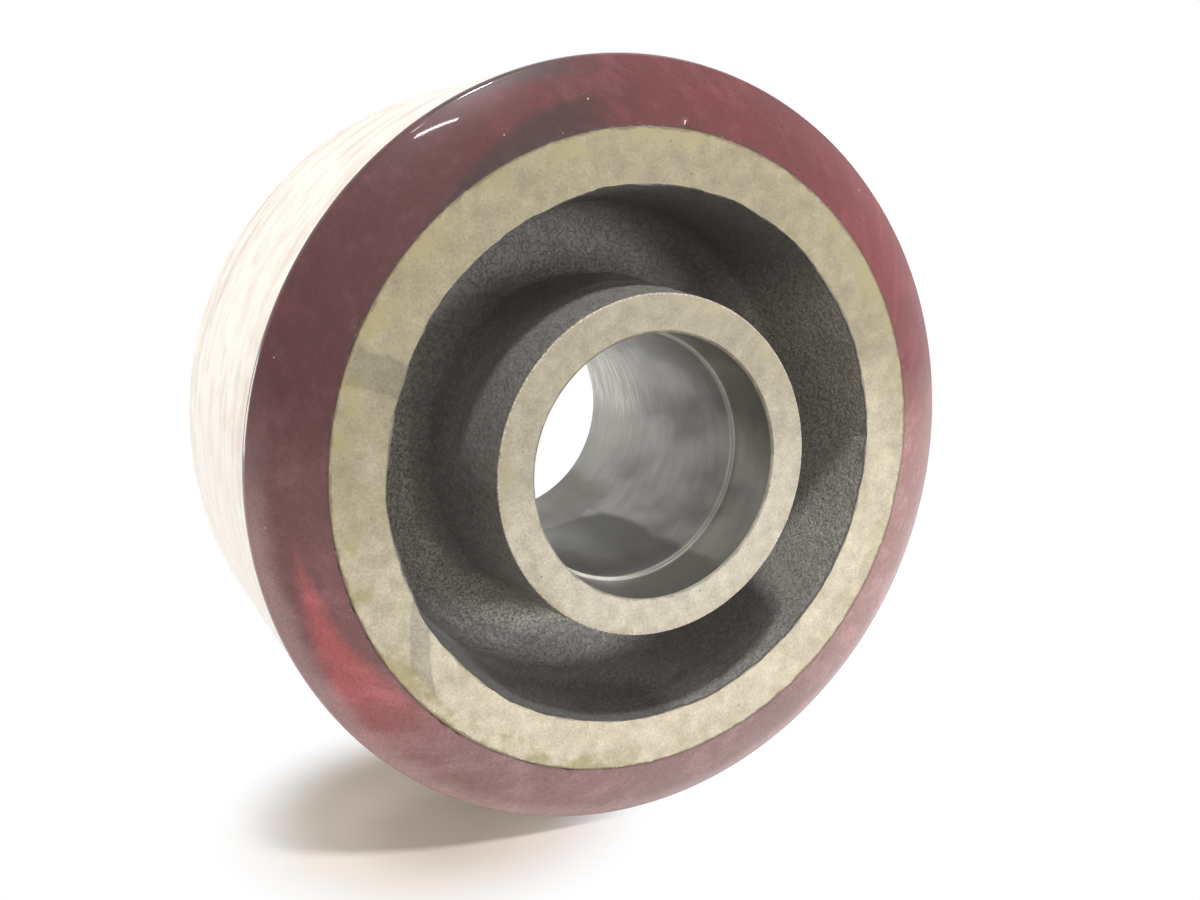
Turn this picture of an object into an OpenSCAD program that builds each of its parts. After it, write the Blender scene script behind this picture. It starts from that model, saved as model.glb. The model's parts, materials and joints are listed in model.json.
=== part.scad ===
// Load wheel for a lift truck: a cast iron core with a bonded polyurethane tyre.
// It spins about Y, the origin is the middle of its bore, and it stands on its tread.
// Each piece is a turned section. Sections are drawn with X as the radius and Y along the
// axle, for one side of the wheel, and mirrored to the other side.

/* [Tyre] */
// Diameter over the tread
tread_d = 152.4; // [146:0.1:180]
// Thickness of the tyre over the rim
tyre_t = 12.4; // [8:0.1:14]
// Width of the tyre where it is bonded, and of the rim
tyre_w = 75; // [66:0.5:90]
// Slope of the tyre's sides, back from the rim's face, in degrees
side_slope = 22.5; // [10:0.5:35]
// How far a side swells out of that slope
side_swell = 0.6; // [0.2:0.1:1.5]
// Rounding between a side and the tread
tread_round = 1.5; // [1:0.1:4]

/* [Rim] */
// Thickness of the rim at the mouth of the recess
rim_t = 11.2; // [9:0.1:13]
// Chamfer on the rim's outer edges, which the tyre fills
bond_chamfer = 0.8; // [0.4:0.1:2]
// Draft of the rim's inner wall, in degrees
rim_draft = 4.5; // [1:0.5:6]
// Fillet between the rim and the web
rim_fillet = 5; // [2:0.5:8]

/* [Web] */
// Thickness of the web between rim and hub
web_t = 12; // [8:0.5:24]

/* [Hub] */
// Length of the hub over its two faces
hub_len = 82; // [76:0.5:100]
// Thickness of the hub around a bearing seat
hub_t = 7.4; // [5:0.1:10]
// Draft of the hub's outer wall, in degrees
hub_draft = 5; // [1:0.5:6]
// Fillet between the hub and the web
hub_fillet = 6.5; // [2:0.5:8]
// Edge break where the machined faces meet the cast walls
edge_break = 0.4; // [0.2:0.1:1]

/* [Bore] */
// Diameter of a bearing seat
seat_d = 52; // [47:0.01:56]
// Depth of a bearing seat from the hub's face
seat_depth = 14; // [10:0.5:20]
// Height of the shoulder behind a bearing's outer ring
shoulder_h = 0.6; // [0.4:0.1:3]
// Chamfer at the mouth of a seat
mouth_chamfer = 0.5; // [0.3:0.1:2]

/* [Hidden] */
$fn = 180;

// Radii and half widths
tread_r = tread_d / 2;
rim_r = tread_r - tyre_t;
mouth_r = rim_r - rim_t;
rim_half = tyre_w / 2;
hub_half = hub_len / 2;
seat_r = seat_d / 2;
relief_r = seat_r - shoulder_h;
seat_y = hub_half - seat_depth;
hub_r = seat_r + hub_t;
web_y = web_t / 2;

// Room past a face, so that a cut goes right through it
past = 5;
// Extra radius with which a rounding crosses the faces that it blends
cross = 0.002;

// Radius of the two cast walls at a distance y from the wheel's middle plane
function hub_wall(y) = hub_r + (hub_half - y) * tan(hub_draft);
function rim_wall(y) = mouth_r - (rim_half - y) * tan(rim_draft);

// A fillet takes no more than its share of the recess's floor
floor_gap = rim_wall(web_y) - hub_wall(web_y);
hub_round = min(hub_fillet, 0.5 * floor_gap);
rim_round = min(rim_fillet, 0.4 * floor_gap);

// Centres of the two fillets
hub_round_y = web_y + hub_round;
rim_round_y = web_y + rim_round;
hub_round_mid = [hub_wall(hub_round_y) + hub_round / cos(hub_draft), hub_round_y];
rim_round_mid = [rim_wall(rim_round_y) - rim_round / cos(rim_draft), rim_round_y];

// The tyre's side is an arc from the rim's face to the edge of the tread
side_in = [rim_r - bond_chamfer, rim_half];
side_out = [tread_r, rim_half - (tread_r - side_in.x) * tan(side_slope)];
side_chord = norm(side_out - side_in);
side_arc_r = (pow(side_chord / 2, 2) + pow(side_swell, 2)) / (2 * side_swell);
chord_dir = (side_out - side_in) / side_chord;
side_arc_mid = (side_in + side_out) / 2
    + (side_arc_r - side_swell) * [chord_dir.y, -chord_dir.x];

// The rounding of the tread's edge touches the tread and the side's arc
tread_round_x = tread_r - tread_round;
round_reach = side_arc_r - tread_round;
tread_round_y = side_arc_mid.y
    + sqrt(pow(round_reach, 2) - pow(tread_round_x - side_arc_mid.x, 2));
tread_round_mid = [tread_round_x, tread_round_y];
side_touch = side_arc_mid
    + (tread_round_mid - side_arc_mid) * side_arc_r / round_reach;

// Turns a section about Y
module turned() {
    rotate([90, 0, 0]) rotate_extrude() children();
}

// Repeats a section on the other side of the wheel's middle plane
module both_sides() {
    children();
    mirror([0, 1]) children();
}

// Recess between hub and rim, with the edge breaks at its two upper edges
module recess_section() {
    hub_edge = [hub_wall(hub_half - edge_break), hub_half - edge_break];
    rim_edge = [rim_wall(rim_half - edge_break), rim_half - edge_break];
    hub_touch = hub_round_mid - hub_round * [cos(hub_draft), sin(hub_draft)];
    rim_touch = rim_round_mid + rim_round * [cos(rim_draft), -sin(rim_draft)];
    polygon([
        hub_edge + [-edge_break - past, edge_break + past],
        hub_edge,
        hub_touch,
        hub_round_mid,
        [hub_round_mid.x, web_y],
        [rim_round_mid.x, web_y],
        rim_round_mid,
        rim_touch,
        rim_edge,
        rim_edge + [edge_break + past, edge_break + past],
        [rim_edge.x, hub_half + 2 * past]
    ]);
    translate(hub_round_mid) circle(hub_round + cross);
    translate(rim_round_mid) circle(rim_round + cross);
}

// Relief, shoulder, bearing seat and mouth of the bore
module bore_section() {
    polygon([
        [-past, -past],
        [relief_r, -past],
        [relief_r, seat_y],
        [seat_r, seat_y],
        [seat_r, hub_half - mouth_chamfer],
        [seat_r + mouth_chamfer + past, hub_half + past],
        [-past, hub_half + past]
    ]);
}

// One side of the casting, with the bore and the recess cut out of it
module core_section() {
    difference() {
        polygon([
            [0, 0],
            [rim_r, 0],
            [rim_r, rim_half - bond_chamfer],
            [rim_r - bond_chamfer, rim_half],
            [rim_round_mid.x, rim_half],
            [rim_round_mid.x, hub_half],
            [0, hub_half]
        ]);
        recess_section();
        bore_section();
    }
}

// What the rounding takes off the edge of the tread
module tread_edge_cut() {
    difference() {
        polygon([
            tread_round_mid,
            [tread_r, tread_round_mid.y],
            [tread_r + past, tread_round_mid.y],
            [tread_r + past, side_touch.y + past],
            side_touch + [0, past],
            side_touch
        ]);
        translate(tread_round_mid) circle(tread_round + cross);
    }
}

// One side of the tyre, from the rim's chamfer out to the rounded edge of the tread
module tyre_section() {
    difference() {
        intersection() {
            polygon([
                [rim_r, 0],
                [tread_r, 0],
                [tread_r, rim_half + past],
                [rim_r - bond_chamfer - past, rim_half + past],
                [rim_r, rim_half - bond_chamfer]
            ]);
            translate(side_arc_mid) circle(side_arc_r);
        }
        tread_edge_cut();
    }
}

// Cast iron core: rim, web and hub in one casting, machined on its faces and in its bore
module wheel_core() {
    color("dimgray") turned() both_sides() core_section();
}

// Polyurethane tyre, bonded to the rim
module tyre() {
    color("darkred") turned() both_sides() tyre_section();
}

wheel_core();
tyre();
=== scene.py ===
"""A lift truck's load wheel, dressed for a studio picture.

The wheel is a cast iron core with a polyurethane tyre bonded to its rim. It spins about Y, its photographed
face looks along -Y, and it stands on its tread. Sizes are in millimetres until a mesh is made, and the
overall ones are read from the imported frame.
"""
import json
import logging
import math
from dataclasses import dataclass, field
from enum import Enum
from functools import reduce
from typing import Callable, Protocol

import bpy
import numpy as np
from mathutils import Matrix, Vector, noise


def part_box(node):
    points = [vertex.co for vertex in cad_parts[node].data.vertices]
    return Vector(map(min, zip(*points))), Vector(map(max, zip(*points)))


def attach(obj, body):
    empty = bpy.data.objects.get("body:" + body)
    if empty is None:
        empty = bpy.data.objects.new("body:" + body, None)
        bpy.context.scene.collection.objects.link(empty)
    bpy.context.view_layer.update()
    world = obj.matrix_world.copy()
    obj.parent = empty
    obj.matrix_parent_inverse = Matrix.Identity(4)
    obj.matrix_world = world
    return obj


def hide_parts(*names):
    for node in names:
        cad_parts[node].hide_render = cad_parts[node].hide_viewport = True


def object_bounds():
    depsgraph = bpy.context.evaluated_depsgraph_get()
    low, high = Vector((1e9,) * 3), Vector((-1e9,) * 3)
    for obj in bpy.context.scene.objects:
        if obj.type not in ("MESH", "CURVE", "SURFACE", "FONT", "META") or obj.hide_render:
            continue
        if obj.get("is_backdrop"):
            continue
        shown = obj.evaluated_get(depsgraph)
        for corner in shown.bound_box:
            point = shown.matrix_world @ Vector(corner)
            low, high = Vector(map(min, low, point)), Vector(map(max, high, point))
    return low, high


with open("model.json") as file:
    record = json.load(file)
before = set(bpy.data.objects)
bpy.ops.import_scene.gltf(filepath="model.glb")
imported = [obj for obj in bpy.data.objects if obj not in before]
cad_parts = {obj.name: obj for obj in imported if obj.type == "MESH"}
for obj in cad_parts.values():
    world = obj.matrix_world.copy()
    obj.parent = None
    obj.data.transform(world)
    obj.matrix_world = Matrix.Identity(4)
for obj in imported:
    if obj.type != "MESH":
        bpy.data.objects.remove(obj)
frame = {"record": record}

LOG = logging.getLogger("load_wheel")
MM = 0.001
WHITE = (1.0, 1.0, 1.0, 1.0)

# Millimetres between points that count as one, and from a stretch's end to the point that keeps it flat
SAME_POINT = 0.002
FLAT_END = 0.12
LEAST_ARC_STEPS = 3

Colour = tuple[float, float, float]
# The radius and the place along the axle of a section's point
Point = tuple[float, float]
# Where a ramp starts and ends
Span = tuple[float, float]
# The frequency or breadth, and the height, of each layer of noise
Layers = tuple[tuple[float, float], ...]
# What feeds each socket of a node
Sockets = dict[int | str, object]


class Zone(Enum):
    """The finish that a stretch of a turned section has."""

    BOND = "bond"
    RIM_FACE = "rim_face"
    CAST = "cast"
    HUB_FACE = "hub_face"
    BORE = "bore"
    SIDE = "side"
    TREAD = "tread"


class Field:
    """A value, colour or vector that varies over a surface, held as a node socket."""

    def __init__(self, shader: "Shader", socket: bpy.types.NodeSocket | None) -> None:
        """Wraps one output socket of a shader, or none for the node that ends its tree."""
        self.shader = shader
        self.socket = socket

    def apply(self, operation: str, other: "Field | float" = 0.0) -> "Field":
        """The result of one Math node on this value and another."""
        return self.shader.node("Math", {"operation": operation}, {0: self, 1: other})

    def __add__(self, other: "Field | float") -> "Field":
        """The sum of two values."""
        return self.apply("ADD", other)

    __radd__ = __add__

    def __sub__(self, other: "Field | float") -> "Field":
        """This value less another."""
        return self.apply("SUBTRACT", other)

    def __rsub__(self, other: float) -> "Field":
        """A number less this value."""
        return self.shader.node("Math", {"operation": "SUBTRACT"}, {0: other, 1: self})

    def __mul__(self, other: "Field | float") -> "Field":
        """The product of two values."""
        return self.apply("MULTIPLY", other)

    __rmul__ = __mul__

    def __truediv__(self, other: "Field | float") -> "Field":
        """This value over another."""
        return self.apply("DIVIDE", other)

    def __pow__(self, other: float) -> "Field":
        """This value to a power."""
        return self.apply("POWER", other)

    def at_least(self, other: "Field | float") -> "Field":
        """The greater of two values."""
        return self.apply("MAXIMUM", other)

    def size(self) -> "Field":
        """The value without its sign."""
        return self.apply("ABSOLUTE")

    def ramp(self, low: float, high: float) -> "Field":
        """A smooth step from 0 where the value is low to 1 where it is high, which may be the smaller."""
        values = {"Value": self, "From Min": low, "From Max": high}
        return self.shader.node("MapRange", {"interpolation_type": "SMOOTHSTEP"}, values)

    def palette(self, stops: tuple[tuple[float, Colour], ...]) -> "Field":
        """Colours that follow the value.

        Args:
            stops: The colour at each of some rising values from 0 to 1.

        Returns:
            The colour between the two nearest stops.
        """
        coloured = self.shader.node("ValToRGB", None, {0: self})
        elements = coloured.socket.node.color_ramp.elements
        while len(elements) < len(stops):
            elements.new(1.0)
        for element, (position, colour) in zip(elements, stops):
            element.position = position
            element.color = (*colour, 1.0)
        return coloured


class Shader:
    """The node tree of one material or world."""

    def __init__(self, owner: bpy.types.Material | bpy.types.World) -> None:
        """Empties the owner's node tree.

        Args:
            owner: The material or world to write.
        """
        self.owner = owner
        owner.use_nodes = True
        self.tree = owner.node_tree
        self.tree.nodes.clear()

    def node(
        self,
        kind: str,
        settings: dict[str, object] | None = None,
        inputs: Sockets | None = None,
        output: int | str = 0,
    ) -> Field:
        """Adds any node: its type and settings first, then its sockets.

        Args:
            kind: The node's type, without the ShaderNode that all of them start with.
            settings: Properties of the node.
            inputs: A value or a field for each socket, by its name or number.
            output: Which output to return.

        Returns:
            The chosen output.
        """
        made = self.tree.nodes.new("ShaderNode" + kind)
        for name, value in (settings or {}).items():
            setattr(made, name, value)
        for key, value in (inputs or {}).items():
            if isinstance(value, Field):
                self.tree.links.new(value.socket, made.inputs[key])
            else:
                made.inputs[key].default_value = value
        return Field(self, made.outputs[output] if len(made.outputs) else None)

    def blend(self, factor: Field | float, first: object, second: object, mode: str = "MIX") -> Field:
        """Blends two colours.

        Args:
            factor: 0 gives the first colour and 1 the second.
            first: The first colour.
            second: The second colour.
            mode: The Mix node's blend type.

        Returns:
            The blended colour.
        """
        first, second = (c if isinstance(c, Field) else (*c, 1.0) for c in (first, second))
        settings = {"data_type": "RGBA", "blend_type": mode}
        # The node's inputs 6 and 7 are its two colours, and output 2 is their blend
        return self.node("Mix", settings, {0: factor, 6: first, 7: second}, 2)

    def vector(self, x: Field | float, y: Field | float, z: Field | float) -> Field:
        """A vector from three values."""
        return self.node("CombineXYZ", None, {0: x, 1: y, 2: z})

    def cloud(self, where: Field, size: float, detail: float = 2.0, roughness: float = 0.5) -> Field:
        """Soft noise around 0.5, in patches of that size, with finer layers of a relative strength."""
        values = {"Vector": where, "Scale": 1.0 / size, "Detail": detail, "Roughness": roughness}
        return self.node("TexNoise", {"noise_dimensions": "3D"}, values)

    def cells(self, where: Field, size: float, output: str = "Distance") -> Field:
        """Voronoi cells of a size in millimetres, as the distance to each middle or a colour per cell."""
        values = {"Vector": where, "Scale": 1.0 / size}
        return self.node("TexVoronoi", {"feature": "F1"}, values, output)

    def bump(self, height: Field) -> Field:
        """A surface normal from a height in millimetres."""
        return self.node("Bump", None, {"Strength": 1.0, "Distance": MM, "Height": height})

    def principled(self, varying: Sockets, constant: Sockets) -> bpy.types.Material:
        """Ends the tree with a Principled surface.

        Args:
            varying: What feeds the sockets that may change over the surface.
            constant: Plain numbers and colours for the others.

        Returns:
            The finished material.
        """
        surface = self.node("BsdfPrincipled", None, {**constant, **varying})
        self.node("OutputMaterial", None, {"Surface": surface})
        return self.owner


class Place:
    """Where a point of the surface lies on the wheel, in millimetres."""

    SIDE_RADIUS = 70.0

    def __init__(self, shader: Shader) -> None:
        """Reads the point in the wheel's own frame.

        Args:
            shader: The shader that asks.
        """
        metres = shader.node("TexCoord", None, None, "Object")
        scaled = {0: metres, "Scale": 1.0 / MM}
        self.point = shader.node("VectorMath", {"operation": "SCALE"}, scaled)
        split = [shader.node("SeparateXYZ", None, {0: self.point}, axis) for axis in "XYZ"]
        self.across, self.along, self.up = split
        self.radius = (self.across * self.across + self.up * self.up) ** 0.5
        self.turn_x = self.across / self.radius
        self.turn_z = self.up / self.radius
        self.shader = shader

    def shifted(self, distance: float) -> Field:
        """The point moved away, so that its noise differs from the noise of other layers."""
        moved = {0: self.point, 1: (distance, distance, distance)}
        return self.shader.node("VectorMath", {"operation": "ADD"}, moved)

    def ring(self, reach: float, fine: float, slant: float = 0.0) -> Field:
        """A place whose noise runs round a circle of that reach, and is the same at each radius."""
        z = self.turn_z * reach + self.along * slant
        return self.shader.vector(self.turn_x * reach, self.along * fine, z)

    def around(self, stretch: float, fine: float) -> Field:
        """A place whose noise is drawn out so many times round the wheel, with a finer grain across it."""
        reach, slant = self.SIDE_RADIUS / stretch, self.radius * fine
        return self.shader.vector(self.turn_x * reach + slant, self.along * fine, self.turn_z * reach - slant)

    def turn(self) -> Field:
        """The share of a full turn anticlockwise from +X towards +Z, from 0 to 1."""
        return (self.up.apply("ARCTAN2", self.across) / math.tau + 1.0).apply("FRACT")

    def past(self, degrees: float) -> Field:
        """How far a point lies anticlockwise past an angle, as the sine of the angle between."""
        start = math.radians(degrees)
        return self.turn_z * math.cos(start) - self.turn_x * math.sin(start)

    def lobe(self, degrees: float, width: float) -> Field:
        """1 in the middle of a sector, at so many degrees from +X towards +Z, and 0 at its half width."""
        middle, half = math.radians(degrees), math.radians(width)
        return (self.turn_x * math.cos(middle) + self.turn_z * math.sin(middle)).ramp(math.cos(half), 1.0)


def new_surface(name: str) -> tuple[Shader, Place]:
    """The shader of a new material, and the place on the wheel that it reads."""
    shader = Shader(bpy.data.materials.new(name))
    return shader, Place(shader)


class Finish(Protocol):
    """A finish that can be made into a material."""

    def material(self) -> bpy.types.Material:
        """Makes the material."""


@dataclass(frozen=True)
class Patch:
    """A soft patch of the recess, in a sector of the wheel, used for painted light and painted shade.

    Each span runs from where the patch is gone to where it is full, over the radius or over the distance from
    the wheel's middle plane, in millimetres.
    """

    degrees: float
    width: float
    radii: tuple[Span, ...]
    strength: float = 1.0
    heights: Span = (-1.0, 0.0)

    def mask(self, place: Place) -> Field:
        """The patch's strength where it is full, falling to 0 outside."""
        spans = (*(place.radius.ramp(*span) for span in self.radii), place.along.size().ramp(*self.heights))
        return math.prod(spans, start=place.lobe(self.degrees, self.width) * self.strength)


@dataclass(frozen=True)
class SandCastSkin:
    """The dark skin that the sand mould leaves on the recess."""

    rim_half: float
    name: str = "sand_cast_skin"
    dark: Colour = (0.27, 0.262, 0.247)
    light: Colour = (0.375, 0.365, 0.342)
    dust_and_painted_light: Colour = (0.66, 0.66, 0.58)
    painted_shade_tint: Colour = (0.44, 0.435, 0.445)
    painted_crease_shade: Colour = (0.08, 0.077, 0.067)
    painted_glint: Colour = (0.45, 0.44, 0.4)
    painted_lip_shade: Colour = (0.07, 0.066, 0.06)
    grain: float = 0.75
    relief: float = 0.4
    hub_foot: Span = (37.5, 33.5)
    rim_wall: Span = (49.0, 51.0)
    # Paler powdery patches, partly painted light where light falls into the recess: low on the left, under
    # the hub and on the right wall
    dust_and_painted_light_patches: tuple[Patch, ...] = (
        Patch(200.0, 62.0, ((37.0, 42.0), (49.8, 47.0))),
        Patch(250.0, 32.0, ((44.0, 37.5),)),
        Patch(5.0, 60.0, ((47.0, 49.5),), 0.6),
    )
    # Painted shade: darker at the top, low on the left along the floor's edge and up the rim wall, and on the
    # right
    oil_stain_and_painted_shade: tuple[Patch, ...] = (
        Patch(86.0, 66.0, ((34.0, 39.0),)),
        Patch(242.0, 45.0, ((42.5, 46.5),), 0.6),
        Patch(238.0, 50.0, ((48.0, 50.0),), 1.2, (16.0, 32.0)),
        Patch(342.0, 42.0, ((49.5, 46.5),), 0.4),
    )

    def material(self) -> bpy.types.Material:
        """Makes the material.

        Returns:
            A rough dark skin with sand grain, paler powdery patches that are partly painted light, painted
            shade, creases with painted shade and painted glints.
        """
        shader, place = new_surface(self.name)
        point, radius = place.point, place.radius
        grain = shader.cloud(point, self.grain, 3.0, 0.6)
        patches = shader.cloud(point, 12.0, 2.0)
        colour = shader.blend((grain * 0.85 + patches * 0.15).ramp(0.34, 0.68), self.dark, self.light)

        # Paler powdery patches, partly painted light
        dust_and_painted_light_patches = sum((patch.mask(place) for patch in self.dust_and_painted_light_patches), (patches - 0.5) * 0.6).ramp(0.15, 0.7)
        sand = shader.cloud(point, 0.5, 2.0, 0.7)
        colour = shader.blend(dust_and_painted_light_patches * (grain * 0.3 + sand * 0.7).ramp(0.4, 0.62) * 0.9, colour, self.dust_and_painted_light)
        # Painted shade: darker at the hub's foot, in the patches above and in random spots
        foot = radius.ramp(*self.hub_foot) * 0.5 + (patches - 0.5) * 0.3
        painted_shade_mask = sum((patch.mask(place) for patch in self.oil_stain_and_painted_shade), foot).ramp(0.0, 0.9)
        colour = shader.blend(painted_shade_mask, colour, self.painted_shade_tint, "MULTIPLY")

        # Painted shade in the skin's creases
        wrinkle = (shader.cloud(point, 2.1, 3.0, 0.6) - 0.5).size().ramp(0.035, 0.0)
        colour = shader.blend(wrinkle * 0.35, colour, self.painted_crease_shade)
        # Painted glints on the sand grains, fewer where shade is painted
        facets = shader.node("SeparateColor", None, {0: shader.cells(point, 0.5, "Color")})
        glint = facets.ramp(0.945, 0.975) * (1.0 - painted_shade_mask * 0.75)
        colour = shader.blend(glint * 0.4, colour, self.painted_glint)
        # Painted shade along the lip of the rim wall, at the recess's mouth
        lip = (place.along.size() + (grain - 0.5) * 0.5).ramp(self.rim_half - 0.45, self.rim_half - 0.2)
        colour = shader.blend(lip * radius.ramp(*self.rim_wall) * 0.8, colour, self.painted_lip_shade)
        height = grain * self.relief + shader.cloud(point, 0.35, 1.0) * 0.06 - wrinkle * 0.12
        varying = {
            "Base Color": colour,
            "Roughness": 0.6 - glint * 0.3,
            "Normal": shader.bump(height),
        }
        return shader.principled(varying, {"Specular IOR Level": 0.45})


@dataclass(frozen=True)
class Smear:
    """A grey patch that slants over a machined face from its inner edge, with a fairly clear outline."""

    degrees: float
    width: float
    lean: float
    reach: float

    def mask(self, place: Place, share: Field, wander: Field) -> Field:
        """How much of the smear shows.

        Args:
            place: The place on the wheel.
            share: The share of the way over the face, from its inner to its outer edge.
            wander: Noise around 0 that breaks up the outline.

        Returns:
            1 inside the smear and 0 outside.
        """
        half_width = math.radians(self.width)
        middle = self.degrees + self.lean * 0.5
        offset = place.past(middle) - (share - 0.5) * math.radians(self.lean)
        across = (offset.size() + wander * 0.05).ramp(half_width, half_width - 0.012)
        ended = (share + wander * 0.4).ramp(self.reach + 0.04, self.reach - 0.04)
        return across * ended * place.lobe(middle, 30.0).ramp(0.0, 0.1)


@dataclass(frozen=True)
class MachinedIron:
    """A faced iron ring: matt and mottled, with oil stains, grey smears, small pits and dirty edges, with
    painted light lighter towards the lower right and a painted highlight on a less dirty outer edge.
    """

    name: str
    tint: Colour
    painted_shade_tone: Colour
    inner: float
    outer: float
    shaded: Colour = (0.72, 0.71, 0.68)
    lit: Colour = (1.25, 1.24, 1.22)
    oil: Colour = (0.3, 0.255, 0.115)
    grey: Colour = (0.25, 0.245, 0.205)
    smeared: Colour = (0.69, 0.7, 0.75)
    outer_dirt: Colour = (0.15, 0.1, 0.045)
    inner_dirt: Colour = (0.13, 0.125, 0.1)
    painted_edge_glint: Colour = (0.8, 0.77, 0.68)
    pitted: Colour = (0.12, 0.1, 0.07)
    stain: float = 0.8
    edge_dirt: float = 1.0
    metallic: float = 0.12
    smears: tuple[Smear, ...] = (Smear(158.5, 3.6, 0.0, 0.95), Smear(205.5, 4.0, 17.0, 0.74))

    def material(self) -> bpy.types.Material:
        """Makes the material.

        Returns:
            A matt machined surface with painted light, lighter towards the lower right, mottled first, then
            stained, then marked along its edges, with a painted highlight inside the outer edge.
        """
        shader, place = new_surface(self.name)
        point, radius = place.point, place.radius
        share = (radius - self.inner) / (self.outer - self.inner)
        wander = shader.cloud(point, 3.0, 4.0, 0.65) - 0.5
        grain = shader.cloud(point, 0.5, 3.0, 0.7)
        mottle = shader.cloud(point, 3.2, 5.0, 0.7)
        broad = shader.cloud(place.shifted(40.0), 14.0, 3.0, 0.55)
        # Painted light: lighter towards the lower right and darker towards the top, mixed with tone that
        # differs at random
        painted_light_and_tone = place.lobe(280.0, 140.0) + (broad - 0.5) * 0.9
        colour = shader.blend(painted_light_and_tone.ramp(0.0, 1.0), self.painted_shade_tone, self.tint)
        tone = mottle * 0.52 + grain * 0.48
        colour = shader.blend(tone.ramp(0.56, 0.34), colour, self.shaded, "MULTIPLY")
        colour = shader.blend(tone.ramp(0.5, 0.68), colour, self.lit, "MULTIPLY")

        reach = (share + wander * 0.9).ramp(0.45, 0.85)
        oil_stain_and_painted_shade = reach * shader.cloud(place.shifted(80.0), 7.0, 3.0, 0.6).ramp(0.4, 0.62)
        oil_stain_and_painted_shade = oil_stain_and_painted_shade * (1.0 - place.lobe(320.0, 70.0).ramp(0.0, 0.5) * 0.65)
        colour = shader.blend(oil_stain_and_painted_shade * self.stain, colour, self.oil)
        shade = shader.cloud(place.shifted(120.0), 6.0, 4.0, 0.6).ramp(0.56, 0.68)
        colour = shader.blend(shade * 0.16, colour, self.grey)
        for smear in self.smears:
            colour = shader.blend(smear.mask(place, share, wander) * 0.85, colour, self.smeared, "MULTIPLY")

        dirt = (radius + wander * 1.6).ramp(self.outer - 0.55, self.outer - 0.1)
        colour = shader.blend(dirt * 0.75 * self.edge_dirt, colour, self.outer_dirt)
        inside = (radius + wander * 1.5).ramp(self.inner + 0.5, self.inner + 0.15)
        colour = shader.blend(inside * 0.6, colour, self.inner_dirt)
        # Painted highlight: a broken light line just inside the outer edge, where the edge is less dirty
        bright = (radius + wander * 0.5).ramp(self.outer - 0.4, self.outer - 0.15) * grain.ramp(0.4, 0.6)
        colour = shader.blend(bright * (1.0 - self.edge_dirt) * 0.7, colour, self.painted_edge_glint)
        pit = shader.cells(point, 3.2).ramp(0.075, 0.04) * shader.cloud(point, 9.0).ramp(0.48, 0.58)
        colour = shader.blend(pit * 0.65, colour, self.pitted)
        varying = {
            "Base Color": colour,
            "Roughness": 0.58 + grain * 0.14 - oil_stain_and_painted_shade * 0.14,
            "Metallic": self.metallic - oil_stain_and_painted_shade * 0.1,
            "Normal": shader.bump(grain * 0.05 + mottle * 0.05 - pit * 0.1),
        }
        return shader.principled(varying, {})


@dataclass(frozen=True)
class TurnedBore:
    """The bright turned bore with its tool marks, greasy smears, painted shade and painted light."""

    shoulder: float
    name: str = "turned_bore"
    tint: Colour = (0.33, 0.32, 0.293)
    bright: Colour = (0.66, 0.64, 0.575)
    brown: Colour = (0.15, 0.13, 0.105)
    grease_and_painted_shade: Colour = (0.07, 0.064, 0.057)
    dull_share: float = 0.8

    def material(self) -> bpy.types.Material:
        """Makes the material.

        Returns:
            Bright metal with marks round the bore, a patch of painted shade, a brown stain, a painted
            reflection and a painted highlight round the shoulder.
        """
        shader, place = new_surface(self.name)
        along = place.along
        marks = shader.cloud(place.ring(1.5, 5.0), 1.0, 3.0, 0.6)
        broad = shader.cloud(place.ring(3.0, 0.35), 1.0)
        cloudy = shader.cloud(place.ring(3.0, 0.05, 0.02), 1.0, 2.0, 0.4)
        ragged = shader.cloud(place.ring(9.0, 0.12), 1.0, 3.0)
        streaks = shader.cloud(place.ring(3.5, 1.6), 1.0, 3.0, 0.65)
        tone = (marks * 0.4 + broad * 0.6).ramp(0.3, 0.7)
        colour = shader.blend(tone, tuple(c * self.dull_share for c in self.tint), self.tint)
        film = cloudy.ramp(0.35, 0.75)
        colour = shader.blend(film * 0.3, colour, self.grease_and_painted_shade)

        # Painted shade: a dark patch low in the front half of the bore
        painted_shade_pool = place.lobe(258.0, 62.0) * along.ramp(24.0, 4.0)
        painted_shade_pool = (painted_shade_pool + (cloudy - 0.5) * 0.3 + (ragged - 0.5) * 0.25).ramp(0.28, 0.46)
        colour = shader.blend(painted_shade_pool * 0.8, colour, self.grease_and_painted_shade)
        stained = place.lobe(280.0, 48.0).ramp(0.0, 0.6)
        stained = stained * (along + (ragged - 0.5) * 12.0).ramp(12.0, 18.0)
        colour = shader.blend(stained * 0.6, colour, self.brown)
        # Painted reflection: lighter and streaked on the upper right, in the bore's back half
        painted_reflection = place.lobe(56.0, 70.0).ramp(0.0, 0.6) * along.ramp(0.0, 26.0)
        painted_reflection = painted_reflection * (0.25 + streaks.ramp(0.42, 0.62) * 0.65)
        colour = shader.blend(painted_reflection, colour, self.bright)
        # Painted highlight: a light ring round the bore at the front seat's end
        edge = (along + self.shoulder).size().ramp(1.3, 0.0)
        colour = shader.blend(edge * 0.65, colour, self.bright)
        varying = {
            "Base Color": colour,
            "Metallic": 0.75 - film * 0.2 - painted_shade_pool * 0.5,
            "Roughness": 0.26 + marks * 0.08 + film * 0.1,
            "Normal": shader.bump(marks * 0.005),
        }
        return shader.principled(varying, {})


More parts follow.
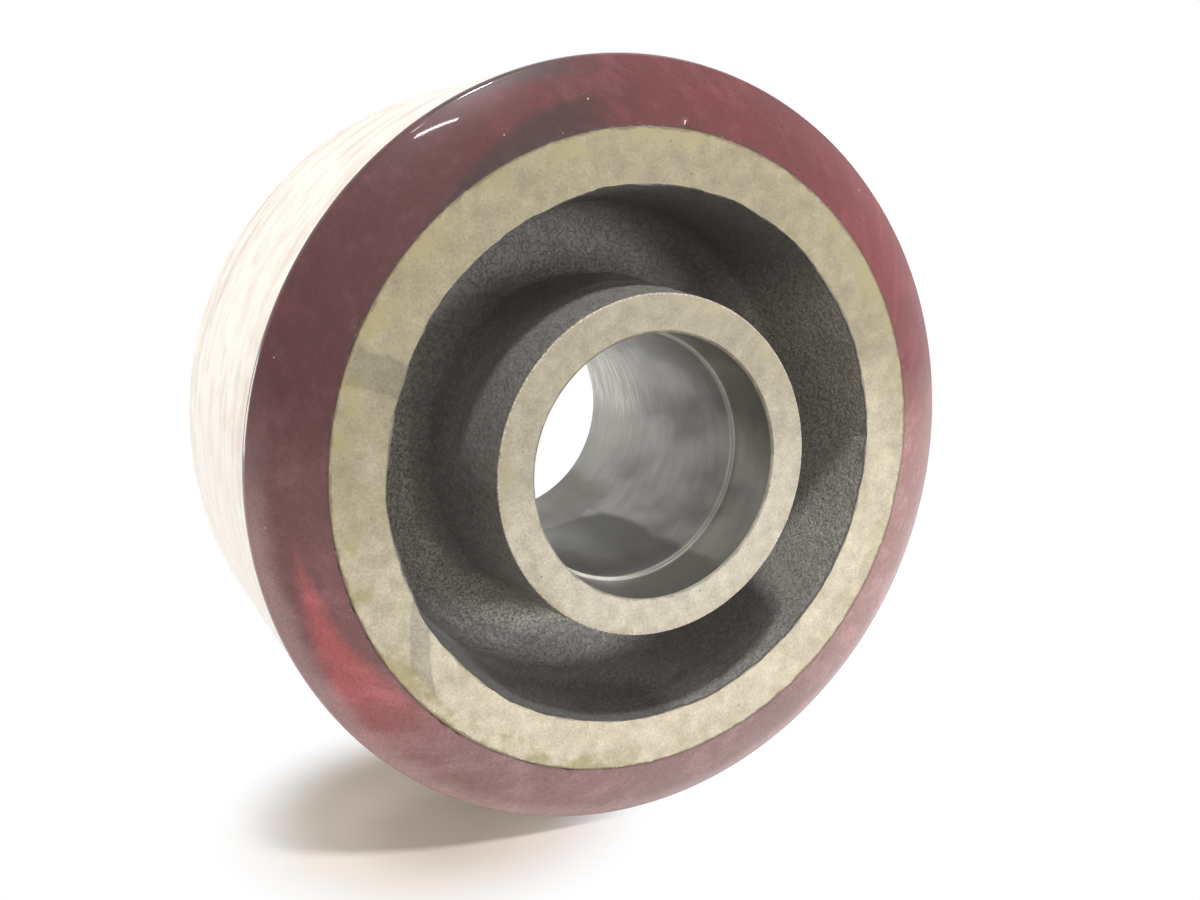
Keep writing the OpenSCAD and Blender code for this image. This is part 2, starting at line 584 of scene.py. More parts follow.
@dataclass(frozen=True)
class BondLine:
    """The primed edge of the casting where the tyre's lip stops short."""

    name: str = "bond_line"
    tint: Colour = (0.055, 0.036, 0.026)
    thin_share: float = 2.4

    def material(self) -> bpy.types.Material:
        """Makes the material.

        Returns:
            A dark brown primer, thicker in some places.
        """
        shader, place = new_surface(self.name)
        thick = shader.cloud(place.point, 1.6, 2.0)
        thin = tuple(c * self.thin_share for c in self.tint)
        colour = shader.blend(thick.ramp(0.35, 0.7), self.tint, thin)
        return shader.principled({"Base Color": colour, "Roughness": 0.45 + thick * 0.3}, {})


@dataclass(frozen=True)
class Wedge:
    """A soft patch of the tyre's side that widens away from a point, tinted with painted light.

    The point is at an angle, and at a share of the way from bond to tread. The patch opens anticlockwise, or
    clockwise where opening is negative, and fades out between two angles past the point.
    """

    degrees: float
    share: float
    opening: float
    fade_from: float
    fade_to: float
    tint: Colour
    strength: float

    def mask(self, place: Place, share: Field, soft: Field) -> Field:
        """How much of the patch shows.

        Args:
            place: The place on the wheel.
            share: The share of the way from bond to tread.
            soft: Noise that breaks up the outline.

        Returns:
            The patch's strength inside it, and 0 outside.
        """
        past = place.past(self.degrees) * math.copysign(1.0, self.opening)
        inside = past * abs(self.opening) - (share - self.share).size() + (soft - 0.5) * 0.2
        full, gone = (math.sin(math.radians(angle)) for angle in (self.fade_from, self.fade_to))
        faded = (past + (soft - 0.5) * 0.25).ramp(gone, full)
        ahead = place.lobe(self.degrees, 85.0).ramp(0.0, 0.05)
        return inside.ramp(-0.08, 0.2) * faded * ahead * self.strength


@dataclass(frozen=True)
class PolyurethaneSide:
    """The tyre's glossy cast side: a clear dark red resin under a powdery film, with painted light that
    changes round the wheel.
    """

    bond: float
    tread: float
    name: str = "polyurethane_side"
    # The resin's red with painted light: darker at the top and top left, lighter and pinker to the right and
    # along the bottom, where light shines through and the floor is reflected
    resin_and_painted_light: tuple[tuple[float, Colour], ...] = (
        (0.0, (0.36, 0.19, 0.18)),
        (0.035, (0.2, 0.05, 0.057)),
        (0.1, (0.205, 0.034, 0.039)),
        (0.17, (0.15, 0.031, 0.035)),
        (0.26, (0.15, 0.034, 0.038)),
        (0.36, (0.105, 0.034, 0.037)),
        (0.46, (0.09, 0.022, 0.026)),
        (0.5, (0.155, 0.064, 0.064)),
        (0.54, (0.19, 0.08, 0.081)),
        (0.62, (0.255, 0.13, 0.127)),
        (0.67, (0.31, 0.185, 0.187)),
        (0.83, (0.32, 0.205, 0.2)),
        (0.92, (0.42, 0.25, 0.24)),
        (1.0, (0.36, 0.19, 0.18)),
    )
    # A painted glow on the left, where light shines through the resin, and two patches of painted shade near
    # the top left
    painted_glow_and_shade: tuple[Wedge, ...] = (
        Wedge(187.0, 0.48, 0.9, 18.0, 46.0, (0.5, 0.115, 0.125), 0.85),
        Wedge(137.0, 0.0, -1.0, 30.0, 50.0, (0.034, 0.027, 0.023), 0.75),
        Wedge(134.0, 1.1, -0.8, 26.0, 44.0, (0.05, 0.034, 0.034), 0.7),
    )
    lighter: Colour = (1.45, 1.5, 1.65)
    darker: Colour = (0.55, 0.5, 0.5)
    bloom_and_painted_reflection: Colour = (0.6, 0.45, 0.46)
    deep: Colour = (0.05, 0.01, 0.012)
    primer: Colour = (0.06, 0.034, 0.03)
    grit: Colour = (0.62, 0.5, 0.38)
    dusty_and_painted_light: Colour = (0.5, 0.38, 0.41)

    def material(self) -> bpy.types.Material:
        """Makes the material.

        Returns:
            A glossy resin with haze and specks, and a painted glow, painted shade and a painted reflection of
            the floor round the wheel.
        """
        shader, place = new_surface(self.name)
        point = place.point
        share = (place.radius - self.bond) / (self.tread - self.bond)
        streaks = shader.cloud(place.around(9.0, 0.12), 1.0, 3.0)
        haze = shader.cloud(point, 11.0, 5.0, 0.62)
        soft = streaks * 0.4 + haze * 0.6
        fine = shader.cloud(point, 0.9, 3.0, 0.6)
        # The resin's colour with painted light and shade round the wheel
        colour = (place.turn() + (soft - 0.5) * 0.05).palette(self.resin_and_painted_light)
        # A painted glow and painted shade
        for wedge in self.painted_glow_and_shade:
            colour = shader.blend(wedge.mask(place, share, soft), colour, wedge.tint)

        drift = shader.cloud(place.around(5.0, 0.16), 1.0, 5.0, 0.6) * 0.5 + haze * 0.5
        colour = shader.blend(drift.ramp(0.48, 0.62) * 0.6, colour, self.lighter, "MULTIPLY")
        mottled = (soft * 0.6 + fine * 0.4).ramp(0.62, 0.36)
        colour = shader.blend(mottled * 0.35, colour, self.darker, "MULTIPLY")
        # A hazy film with a painted reflection of the floor: paler towards the outer edge over the lower half
        outer = (share + (soft - 0.5) * 0.3).ramp(0.62, 0.95) * place.lobe(262.0, 110.0).ramp(0.0, 0.5)
        colour = shader.blend(outer * 0.45, colour, self.bloom_and_painted_reflection)
        grains = shader.cloud(point, 0.4, 2.0, 0.7)
        colour = shader.blend(grains.ramp(0.6, 0.4) * 0.2, colour, self.deep)
        near_bond = (share + (haze - 0.5) * 0.08).ramp(0.05, 0.0)
        colour = shader.blend(near_bond * 0.5, colour, self.primer)
        speck = shader.cells(point, 4.6).ramp(0.05, 0.03) * haze.ramp(0.42, 0.55)
        colour = shader.blend(speck * 0.8, colour, self.grit)
        film = shader.cloud(place.around(4.0, 0.25), 1.0, 4.0, 0.65).ramp(0.5, 0.75)
        colour = shader.blend(film * 0.04, colour, self.dusty_and_painted_light)
        waves = shader.cloud(point, 13.0, 1.0)
        varying = {
            "Base Color": colour,
            "Roughness": 0.34 + film * 0.12 + haze * 0.1,
            "Normal": shader.bump(waves * 0.14 + speck * 0.03),
        }
        constant = {
            "Subsurface Weight": 0.25,
            "Subsurface Radius": (4.0, 0.8, 0.9),
            "Subsurface Scale": MM,
            "Specular IOR Level": 0.25,
            "Coat Weight": 0.55,
            "Coat Roughness": 0.04,
        }
        return shader.principled(varying, constant)


@dataclass(frozen=True)
class GroundTread:
    """The tread, ground true after moulding: matt, powdery and marked round the wheel, and whitened with
    painted light.
    """

    half_width: float
    name: str = "ground_tread"
    body: Colour = (0.42, 0.1, 0.1)
    # Almost white: a powdery frosting that is partly painted light
    dusty_and_painted_light: Colour = (0.96, 0.93, 0.87)
    painted_white: Colour = (0.99, 0.98, 0.95)
    beige: Colour = (0.78, 0.68, 0.6)

    def material(self) -> bpy.types.Material:
        """Makes the material.

        Returns:
            A red body frosted almost white, partly with painted light and whiter still towards the lower
            left, with beige streaks and fine red lines that run round the tread.
        """
        shader, place = new_surface(self.name)
        lines = shader.cloud(place.ring(1.2, 3.2), 1.0, 3.0, 0.6)
        scuff = shader.cloud(place.around(26.0, 0.3), 1.0, 4.0, 0.6)
        mottle = shader.cloud(place.point, 7.0, 4.0, 0.6)
        edge = place.along.size().ramp(self.half_width - 26.0, self.half_width - 8.0)
        worn = (scuff * 0.5 + mottle * 0.5 + edge * 0.04).ramp(0.44, 0.64)
        # Painted light: whiter towards the lower left, where the marks fade
        painted_whitening = place.lobe(222.0, 65.0).ramp(0.0, 0.8)
        clear = 1.0 - painted_whitening * 0.6
        colour = shader.blend(painted_whitening, self.dusty_and_painted_light, self.painted_white)
        colour = shader.blend(worn * clear * 0.7, colour, self.beige)
        bare = (lines * 0.5 + scuff * 0.5).ramp(0.54, 0.68)
        colour = shader.blend(bare * clear * 0.4, colour, self.body)
        varying = {
            "Base Color": colour,
            "Roughness": 0.6 + worn * 0.15 - bare * 0.1,
            "Normal": shader.bump(lines * 0.05 + scuff * 0.08),
        }
        return shader.principled(varying, {"Specular IOR Level": 0.4})


@dataclass(frozen=True)
class Corner:
    """One corner of a section: its place, the round on it, and the stretch that follows it."""

    radius: float
    along: float
    zone: Zone
    round: float = 0.0
    step: float = 3.0
    sagitta: float = 0.0
    round_zone: Zone | None = None


@dataclass
class Section:
    """Half of a turned section as a fine row of points, from the middle plane round to it again."""

    points: list[Point] = field(default_factory=list)
    zones: list[Zone] = field(default_factory=list)

    def add(self, point: Point, zone: Zone) -> None:
        """Adds a point, unless it lies on the last one.

        Args:
            point: The point.
            zone: The zone of the stretch that leads on from it.
        """
        if self.points and math.dist(self.points[-1], point) < SAME_POINT:
            self.zones[-1] = zone
            return
        self.points.append(point)
        self.zones.append(zone)

    @classmethod
    def through(cls, corners: list[Corner], arc_step: float) -> "Section":
        """Traces a path of straight or bowed stretches with rounded corners.

        Args:
            corners: The corners in order.
            arc_step: The longest step round a fillet, in millimetres.

        Returns:
            The section.
        """
        section = cls()
        cuts = [_fillet(corners, i) for i in range(len(corners))]
        for i, corner in enumerate(corners):
            start, centre, end = cuts[i]
            if centre is None:
                section.add((corner.radius, corner.along), corner.zone)
            else:
                for point in _arc_points(start, centre, end, corner.round, arc_step):
                    section.add(point, corner.round_zone or corner.zone)
                section.zones[-1] = corner.zone
            if i + 1 < len(corners):
                leave, arrive = section.points[-1], cuts[i + 1][0]
                for point in _stretch_points(leave, arrive, corner.step, corner.sagitta):
                    section.add(point, corner.zone)
        return section

    def mirrored(self) -> "Section":
        """The whole closed section: this half, then its mirror image backwards.

        Returns:
            A closed loop whose last stretch leads back to its first point.
        """
        whole = Section(list(self.points), list(self.zones))
        count = len(self.points)
        for i in range(count - 2, 0, -1):
            radius, along = self.points[i]
            whole.points.append((radius, -along))
            whole.zones.append(self.zones[i - 1])
        whole.zones[count - 1] = self.zones[count - 2]
        return whole


def _fillet(corners: list[Corner], i: int) -> tuple[Point, Point | None, Point]:
    """Where the round on a corner starts, its centre and where it ends.

    Args:
        corners: The corners of the path.
        i: Which corner.

    Returns:
        Start, centre and end, with no centre on a sharp corner.
    """
    here = Vector((corners[i].radius, corners[i].along))
    if corners[i].round <= 0 or i in (0, len(corners) - 1):
        return tuple(here), None, tuple(here)
    before = Vector((corners[i - 1].radius, corners[i - 1].along)) - here
    after = Vector((corners[i + 1].radius, corners[i + 1].along)) - here
    half = before.angle(after) / 2
    back = corners[i].round / math.tan(half)
    middle = (before.normalized() + after.normalized()).normalized()
    centre = here + middle * (corners[i].round / math.sin(half))
    return tuple(here + before.normalized() * back), tuple(centre), tuple(here + after.normalized() * back)


def _arc_points(start: Point, centre: Point, end: Point, radius: float, step: float) -> list[Point]:
    """Points along the short way round an arc.

    Args:
        start: Where it starts.
        centre: Its centre.
        end: Where it ends.
        radius: Its radius.
        step: The longest step between two points.

    Returns:
        The points, both ends included.
    """
    first = math.atan2(start[1] - centre[1], start[0] - centre[0])
    turn = math.atan2(end[1] - centre[1], end[0] - centre[0]) - first
    turn = (turn + math.pi) % (2 * math.pi) - math.pi
    count = max(LEAST_ARC_STEPS, math.ceil(abs(turn) * radius / step))
    angles = [first + turn * k / count for k in range(count + 1)]
    return [(centre[0] + radius * math.cos(a), centre[1] + radius * math.sin(a)) for a in angles]


def _stretch_points(start: Point, end: Point, step: float, sagitta: float) -> list[Point]:
    """Points along a straight or bowed stretch, with one close to each end.

    Args:
        start: Where it starts.
        end: Where it ends.
        step: The usual step between two points.
        sagitta: How far its middle bows out.

    Returns:
        The points without the start.
    """
    length = math.dist(start, end)
    count = max(1, round(length / step))
    guard = min(FLAT_END, length / 4)
    shares = [guard / length, *(k / count for k in range(1, count)), 1 - guard / length, 1.0]
    side = ((end[1] - start[1]) / length, (start[0] - end[0]) / length)
    bow = [4 * sagitta * s * (1 - s) for s in shares]
    return [
        (start[0] + (end[0] - start[0]) * s + side[0] * b, start[1] + (end[1] - start[1]) * s + side[1] * b)
        for s, b in zip(shares, bow)
    ]


def revolve(
    name: str,
    section: Section,
    turns: int,
    finishes: dict[Zone, Finish],
    shape: Callable[[int, Vector, Vector, float], Vector],
) -> bpy.types.Object:
    """Turns a closed section round the Y axis into a mesh.

    Args:
        name: The piece's name.
        section: The closed section.
        turns: How many steps make the full turn.
        finishes: The finish of each zone.
        shape: Gives a vertex's place, in millimetres, from its row, plain place, normal and angle.

    Returns:
        The object, at the origin.
    """
    rows = len(section.points)
    outline = np.array(section.points)
    tangent = np.roll(outline, -1, 0) - np.roll(outline, 1, 0)
    normal = np.stack([tangent[:, 1], -tangent[:, 0]], 1)
    normal /= np.linalg.norm(normal, axis=1, keepdims=True)
    area = np.sum(outline[:, 0] * np.roll(outline[:, 1], -1) - np.roll(outline[:, 0], -1) * outline[:, 1])
    normal *= math.copysign(1.0, area)
    vertices = []
    for row, ((radius, along), (out, side)) in enumerate(zip(outline, normal)):
        for k in range(turns):
            angle = 2 * math.pi * k / turns
            c, s = math.cos(angle), math.sin(angle)
            plain = Vector((radius * c, along, radius * s))
            vertices.append(shape(row, plain, Vector((out * c, side, out * s)), angle) * MM)
    row, k = np.meshgrid(np.arange(rows), np.arange(turns), indexing="ij")
    up, on = (row + 1) % rows, (k + 1) % turns
    quads = np.stack([row * turns + k, row * turns + on, up * turns + on, up * turns + k], -1).reshape(-1, 4)
    if area > 0:
        quads = quads[:, ::-1]
    mesh = bpy.data.meshes.new(name)
    mesh.from_pydata(vertices, [], quads.tolist())
    order = list(finishes)
    for zone in order:
        mesh.materials.append(finishes[zone].material())
    index = np.repeat([order.index(zone) for zone in section.zones], turns).astype(np.int32)
    mesh.polygons.foreach_set("material_index", index)
    mesh.polygons.foreach_set("use_smooth", np.ones(len(quads), bool))
    mesh.update()
    piece = bpy.data.objects.new(name, mesh)
    bpy.context.scene.collection.objects.link(piece)
    return piece


def circle_point(angle: float, along: float = 0.0) -> Vector:
    """A point of the unit circle round the axle, or of one moved along it."""
    return Vector((math.cos(angle), along, math.sin(angle)))


def layered(where: Vector, layers: Layers) -> float:
    """The sum of some layers of noise at a place, each with its frequency and its height."""
    return sum(noise.noise(where * frequency) * height for frequency, height in layers)


@dataclass(frozen=True)
class LipEdge:
    """How the bonded edge wanders round the rim face, with nicks where one noise peaks, in millimetres."""

    layers: Layers = ((5.0, 0.4), (23.0, 0.3), (47.0, 0.32))
    apart: float = 3.0
    nick_frequency: float = 14.0
    nick_from: float = 0.38
    nick_gain: float = 1.6

    def offset(self, angle: float, side: float) -> float:
        """How far the lip stands outside its plain radius.

        Args:
            angle: The angle round the wheel.
            side: -1 on the front and 1 on the rear.

        Returns:
            The offset, negative where the lip laps over the face.
        """
        where = circle_point(angle, self.apart * side)
        peak = noise.noise(where * self.nick_frequency) - self.nick_from
        return layered(where, self.layers) + max(0.0, peak) * self.nick_gain


@dataclass
class CastCore:
    """The cast iron core: rim, web and hub in one piece, faced and bored after casting."""

    bond_radius: float
    hub_half: float
    seat_radius: float
    seat_end: float
    rim_half: float
    rim_thickness: float = 11.2
    rim_draft: float = 4.5
    rim_fillet: float = 5.0
    web_half: float = 6.0
    hub_thickness: float = 7.4
    hub_draft: float = 5.0
    hub_fillet: float = 6.5
    bond_chamfer: float = 0.8
    mouth_chamfer: float = 0.5
    shoulder: float = 0.6
    edge: float = 0.3
    skin_layers: Layers = ((8.0, 0.16), (2.6, 0.1), (1.4, 0.09))
    pit_breadth: float = 3.7
    pit_apart: tuple[float, float, float] = (9.0, 2.0, 5.0)
    pit_from: float = 0.42
    pit_depth: float = 0.9
    mouth_layers: Layers = ((4.5, 0.55), (13.0, 0.3), (37.0, 0.16))
    mouth_apart: float = 2.0
    mouth_reach: float = 4.0
    mouth_depth: float = 7.0
    cast_step: float = 0.95
    turns: int = 320

    def __post_init__(self) -> None:
        """Works out the radii that follow from the sizes."""
        self.rim_mouth = self.bond_radius - self.rim_thickness
        self.rim_face_outer = self.bond_radius - self.bond_chamfer
        self.hub_mouth = self.seat_radius + self.hub_thickness
        rim_slant = (self.rim_half - self.web_half) * math.tan(math.radians(self.rim_draft))
        hub_slant = (self.hub_half - self.web_half) * math.tan(math.radians(self.hub_draft))
        self.rim_floor = self.rim_mouth - rim_slant
        self.hub_floor = self.hub_mouth + hub_slant

    def section(self) -> Section:
        """The core's closed section.

        Returns:
            The front half traced from the bond to the bore, and its mirror image.
        """
        face, hub = -self.rim_half, -self.hub_half
        bore_mouth = self.seat_radius + self.mouth_chamfer
        relief = self.seat_radius - self.shoulder
        corners = [
            Corner(self.bond_radius, 0.0, Zone.BOND, step=9.0),
            Corner(self.bond_radius, face + self.bond_chamfer, Zone.BOND, step=0.4),
            Corner(self.rim_face_outer, face, Zone.RIM_FACE, step=1.5),
            Corner(self.rim_mouth, face, Zone.CAST, self.edge, self.cast_step),
            Corner(self.rim_floor, -self.web_half, Zone.CAST, self.rim_fillet, self.cast_step),
            Corner(self.hub_floor, -self.web_half, Zone.CAST, self.hub_fillet, self.cast_step),
            Corner(self.hub_mouth, hub, Zone.HUB_FACE, self.edge, 1.5),
            Corner(bore_mouth, hub, Zone.HUB_FACE, 0.1, 0.25),
            Corner(self.seat_radius, hub + self.mouth_chamfer, Zone.BORE, 0.1, 3.0),
            Corner(self.seat_radius, -self.seat_end, Zone.BORE, step=0.3),
            Corner(relief, -self.seat_end, Zone.BORE, 0.05, 3.0),
            Corner(relief, 0.0, Zone.BORE),
        ]
        return Section.through(corners, self.cast_step).mirrored()

    def finishes(self) -> dict[Zone, Finish]:
        """The finish of each zone of the core.

        Returns:
            The finishes, in the order of the material slots.
        """
        return {
            Zone.BOND: BondLine(),
            Zone.RIM_FACE: MachinedIron(
                "machined_rim", (0.58, 0.53, 0.415), (0.31, 0.276, 0.184), self.rim_mouth, self.rim_face_outer
            ),
            Zone.CAST: SandCastSkin(self.rim_half),
            Zone.HUB_FACE: MachinedIron(
                "machined_hub", (0.52, 0.49, 0.405), (0.35, 0.317, 0.245), self.seat_radius, self.hub_mouth,
                stain=0.45, edge_dirt=0.2, smears=()
            ),
            Zone.BORE: TurnedBore(self.seat_end),
        }

    def skin(self, point: Vector) -> float:
        """The height of the cast skin over a point of its plain surface, in millimetres."""
        peak = noise.noise(point / self.pit_breadth + Vector(self.pit_apart)) - self.pit_from
        return sum(noise.noise(point / b) * h for b, h in self.skin_layers) - max(0.0, peak) * self.pit_depth

    def wander(self, point: Point, angle: float) -> float:
        """How far the edge between rim face and recess strays from a true circle, in millimetres.

        Args:
            point: Radius and place along the axle of the plain surface.
            angle: The angle round the wheel.

        Returns:
            The offset in radius, which fades out away from the edge.
        """
        radius, along = point
        depth = max(0.0, self.rim_half - abs(along))
        near = max(0.0, 1.0 - abs(radius - self.rim_mouth) / self.mouth_reach)
        near *= max(0.0, 1.0 - depth / self.mouth_depth)
        if near == 0.0 or abs(along) > self.rim_half + self.edge:
            return 0.0
        where = circle_point(angle, math.copysign(self.mouth_apart, along))
        return near * layered(where, self.mouth_layers)

    def build(self) -> bpy.types.Object:
        """Builds the core.

        Returns:
            The piece, which stands for the CAD core.
        """
        section = self.section()
        zones = section.zones
        cast = [zone is Zone.CAST and zones[i - 1] is Zone.CAST for i, zone in enumerate(zones)]

        def shape(row: int, plain: Vector, normal: Vector, angle: float) -> Vector:
            """Lifts the cast rows by the skin's height, and lets the recess's mouth wander."""
            place = plain + normal * self.skin(plain) if cast[row] else plain
            return place + circle_point(angle) * self.wander(section.points[row], angle)

        piece = revolve("core_casting", section, self.turns, self.finishes(), shape)
        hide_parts("wheel_core")
        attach(piece, "root")
        return piece


@dataclass
class BondedTyre:
    """The polyurethane tyre, cast on to the core's rim and ground on its tread."""

    tread_radius: float
    bond_radius: float
    half_width: float
    side_slope: float = 22.5
    side_swell: float = 0.6
    tread_round: float = 1.5
    bond_chamfer: float = 0.8
    lip_reach: float = 2.2
    ripple: float = 0.05
    ripple_breadth: float = 13.0
    ripple_from: float = 1.0
    arc_step: float = 0.35
    turns: int = 576
    lip: LipEdge = field(default_factory=LipEdge)

    def section(self) -> Section:
        """The tyre's closed section.

        Returns:
            The front half traced from the bond over the side to the tread, and its mirror image.
        """
        inner = self.bond_radius - self.bond_chamfer
        fall = (self.tread_radius - inner) * math.tan(math.radians(self.side_slope))
        tread_edge = (self.tread_radius, fall - self.half_width)
        corners = [
            Corner(self.bond_radius, 0.0, Zone.SIDE, step=9.0),
            Corner(self.bond_radius, self.bond_chamfer - self.half_width, Zone.SIDE, step=0.8),
            Corner(inner, -self.half_width, Zone.SIDE, 0.0, 0.7, self.side_swell),
            Corner(*tread_edge, Zone.TREAD, self.tread_round, 1.6, round_zone=Zone.SIDE),
            Corner(self.tread_radius, 0.0, Zone.TREAD),
        ]
        return Section.through(corners, self.arc_step).mirrored()

    def finishes(self) -> dict[Zone, Finish]:
        """The finish of each zone of the tyre.

        Returns:
            The finishes, in the order of the material slots.
        """
        return {
            Zone.SIDE: PolyurethaneSide(self.bond_radius - self.bond_chamfer, self.tread_radius),
            Zone.TREAD: GroundTread(self.half_width),
        }

    def build(self) -> bpy.types.Object:
        """Builds the tyre.

        Returns:
            The piece, which stands for the CAD tyre.
        """
        section = self.section()
        inner = self.bond_radius - self.bond_chamfer

        def shape(row: int, plain: Vector, normal: Vector, angle: float) -> Vector:
            """Moves the lip in and out round the rim, and ripples the cast side.

            Args:
                row: Which point of the section.
                plain: Its plain place at that angle.
                normal: The plain surface's normal there.
                angle: The angle round the wheel.

            Returns:
                The vertex's place, in millimetres.
            """
            radius, along = section.points[row]
            side = math.copysign(1.0, along)
            place = plain.copy()
            if section.zones[row] is Zone.SIDE and radius > inner + self.ripple_from:
                place += normal * (noise.noise(plain / self.ripple_breadth) * self.ripple - self.ripple)
            near = max(0.0, 1.0 - (radius - inner) / self.lip_reach)
            if near > 0 and abs(along) > self.half_width - self.lip_reach:
                offset = self.lip.offset(angle, side) * near
                place += circle_point(angle) * offset
                place.y -= side * max(0.0, offset)
            return place

        piece = revolve("tyre_body", section, self.turns, self.finishes(), shape)
        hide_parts("tyre")
        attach(piece, "root")
        return piece


@dataclass(frozen=True)
class Softbox:
    """A studio lamp that faces the wheel."""

    name: str
    place: tuple[float, float, float]
    width: float
    height: float
    watts: float
    tint: Colour = (1.0, 1.0, 1.0)


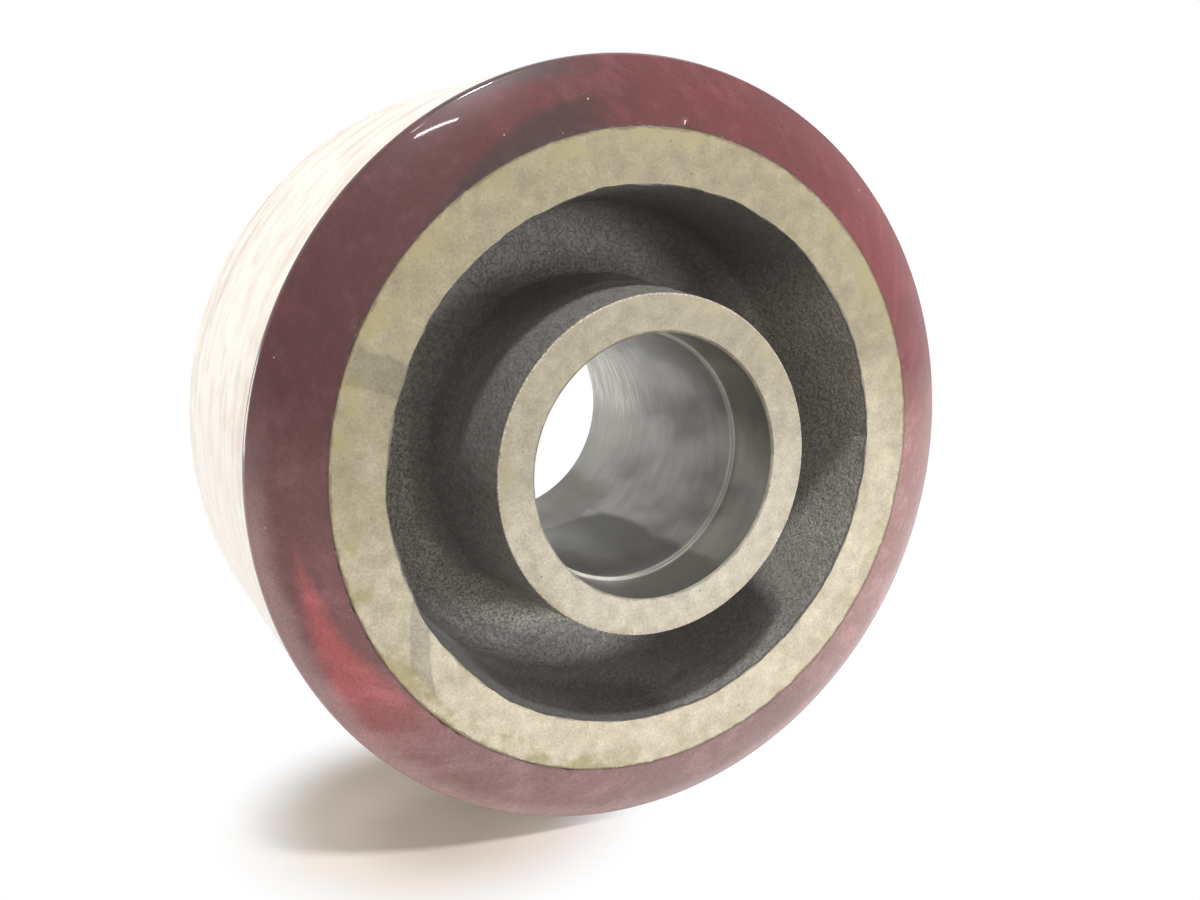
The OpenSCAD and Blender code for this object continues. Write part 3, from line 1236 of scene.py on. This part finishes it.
@dataclass
class Studio:
    """The pale floor, the soft light and the camera."""

    floor_z: float
    lens: float = 35.15
    azimuth: float = -26.6
    elevation: float = 14.17
    distance: float = 260.8
    aim_right: float = 6.9
    aim_up: float = -17.3
    rise: float = 0.052
    clip_start: float = 0.01
    fill: float = 0.3
    fill_tint: Colour = (1.0, 0.95, 0.89)
    floor_half: float = 40.0
    # Painted shade: near the wheel the floor is tinted darker than the white beyond, deepening its real
    # shadow
    floor_tint: Colour = (0.74, 0.68, 0.625)
    # Painted shadow at the wheel's contact
    painted_contact_shadow: Colour = (0.56, 0.505, 0.455)
    shade: tuple[float, float, float] = (-0.038, -0.012, -0.0762)
    shade_span: Span = (0.022, 0.047)
    contact: tuple[float, float, float] = (-0.04, -0.021, -0.0762)
    contact_span: Span = (0.022, 0.006)
    softboxes: tuple[Softbox, ...] = (
        Softbox("overhead", (-0.07, -0.34, 0.93), 0.1, 0.1, 5.9, (1.0, 0.99, 0.97)),
        Softbox("strip", (-0.19, -0.61, 0.86), 0.17, 0.02, 0.5),
        Softbox("front", (0.5, -0.87, 0.06), 0.24, 0.24, 6.0),
        Softbox("right", (0.75, 0.65, 0.25), 0.4, 0.4, 2.0),
        Softbox("left", (-0.86, 0.5, 0.04), 0.4, 0.4, 5.6),
    )

    def world(self) -> None:
        """A white surround for the camera and reflections, and a softer one as fill."""
        world = bpy.data.worlds.new("surround")
        bpy.context.scene.world = world
        shader = Shader(world)
        soft = {"Color": (*self.fill_tint, 1.0), "Strength": self.fill}
        fill = shader.node("Background", None, soft)
        white = shader.node("Background", None, {"Color": WHITE, "Strength": 1.0})
        mixed = shader.node("MixShader", None, {0: self._seen(shader), 1: fill, 2: white})
        shader.node("OutputWorld", None, {"Surface": mixed})

    def _seen(self, shader: Shader) -> Field:
        """1 where a camera, glossy or transmission ray meets the surface."""
        rays = ("Is Camera Ray", "Is Glossy Ray", "Is Transmission Ray")
        return reduce(Field.at_least, (shader.node("LightPath", None, None, ray) for ray in rays))

    def _away(self, shader: Shader, middle: tuple[float, float, float]) -> Field:
        """How far a point of the floor lies from another.

        Args:
            shader: The floor's shader.
            middle: The other point, in metres.

        Returns:
            The distance, in metres.
        """
        metres = shader.node("TexCoord", None, None, "Object")
        offset = shader.node("VectorMath", {"operation": "SUBTRACT"}, {0: metres, 1: middle})
        return shader.node("VectorMath", {"operation": "LENGTH"}, {0: offset}, "Value")

    def floor(self) -> None:
        """The floor: pale near the wheel, where the lamps shade it and its darker tint is painted shade, with
        a painted shadow at its contact and plain white further off.
        """
        mesh = bpy.data.meshes.new("floor")
        signs = ((-1, -1), (1, -1), (1, 1), (-1, 1))
        corners = [(x * self.floor_half, y * self.floor_half, self.floor_z) for x, y in signs]
        mesh.from_pydata(corners, [], [(0, 1, 2, 3)])
        material = bpy.data.materials.new("pale_floor")
        shader = Shader(material)
        far = self._away(shader, self.shade).ramp(*self.shade_span) * self._seen(shader)
        # Painted shadow: a darker floor tint round the wheel's contact
        close = self._away(shader, self.contact).ramp(*self.contact_span)
        pale, dark = (
            shader.node("BsdfDiffuse", None, {"Color": (*tint, 1.0)})
            for tint in (self.floor_tint, self.painted_contact_shadow)
        )
        near = shader.node("MixShader", None, {0: close, 1: pale, 2: dark})
        white = shader.node("Emission", None, {"Color": WHITE, "Strength": 1.0})
        mixed = shader.node("MixShader", None, {0: far, 1: near, 2: white})
        shader.node("OutputMaterial", None, {"Surface": mixed})
        mesh.materials.append(material)
        floor = bpy.data.objects.new("floor", mesh)
        bpy.context.scene.collection.objects.link(floor)
        floor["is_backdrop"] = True

    def lamps(self) -> None:
        """The softboxes, each turned to the wheel."""
        for box in self.softboxes:
            light = bpy.data.lights.new(box.name, "AREA")
            light.shape = "RECTANGLE"
            light.size = box.width
            light.size_y = box.height
            light.energy = box.watts
            light.color = box.tint
            lamp = bpy.data.objects.new(box.name, light)
            lamp.location = box.place
            lamp.rotation_euler = (-Vector(box.place)).to_track_quat("-Z", "Y").to_euler()
            bpy.context.scene.collection.objects.link(lamp)

    def camera(self) -> None:
        """The camera, level across and at the photograph's angle."""
        a, e = math.radians(self.azimuth), math.radians(self.elevation)
        right = Vector((math.cos(a), math.sin(a), 0.0))
        ahead = Vector((-math.sin(a) * math.cos(e), math.cos(a) * math.cos(e), -math.sin(e)))
        up = right.cross(ahead)
        data = bpy.data.cameras.new("camera")
        data.lens = self.lens
        data.shift_y = self.rise
        data.clip_start = self.clip_start
        camera = bpy.data.objects.new("camera", data)
        where = (right * self.aim_right + up * self.aim_up - ahead * self.distance) * MM
        turn = Matrix((right, up, -ahead)).transposed().to_4x4()
        camera.matrix_world = Matrix.Translation(where) @ turn
        bpy.context.scene.collection.objects.link(camera)
        bpy.context.scene.camera = camera

    def build(self) -> None:
        """Builds the studio."""
        self.world()
        self.floor()
        self.lamps()
        self.camera()


def main() -> None:
    """Builds the wheel and the studio."""
    logging.basicConfig(level=logging.INFO, format="%(name)s: %(message)s")
    scene = bpy.context.scene
    scene.view_settings.view_transform = "Standard"
    cad_low, cad_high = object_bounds()

    seat = next(m for m in frame["record"]["mounts"] if m["name"] == "bearing_seat_front")
    seat_middle = abs(seat["pos_m"][1]) / MM
    tyre_high, core_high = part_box("tyre")[1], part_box("wheel_core")[1]
    core = CastCore(
        bond_radius=core_high.x / MM,
        hub_half=core_high.y / MM,
        seat_radius=seat["dims"]["r_mm"],
        seat_end=seat_middle - seat["dims"]["length_mm"] / 2,
        rim_half=tyre_high.y / MM,
    )
    tyre = BondedTyre(
        tread_radius=tyre_high.x / MM,
        bond_radius=core_high.x / MM,
        half_width=tyre_high.y / MM,
    )
    for part in (core, tyre):
        piece = part.build()
        LOG.info("%s: %d faces", piece.name, len(piece.data.polygons))
    Studio(floor_z=cad_low.z).build()


if __name__ == "__main__":
    main()
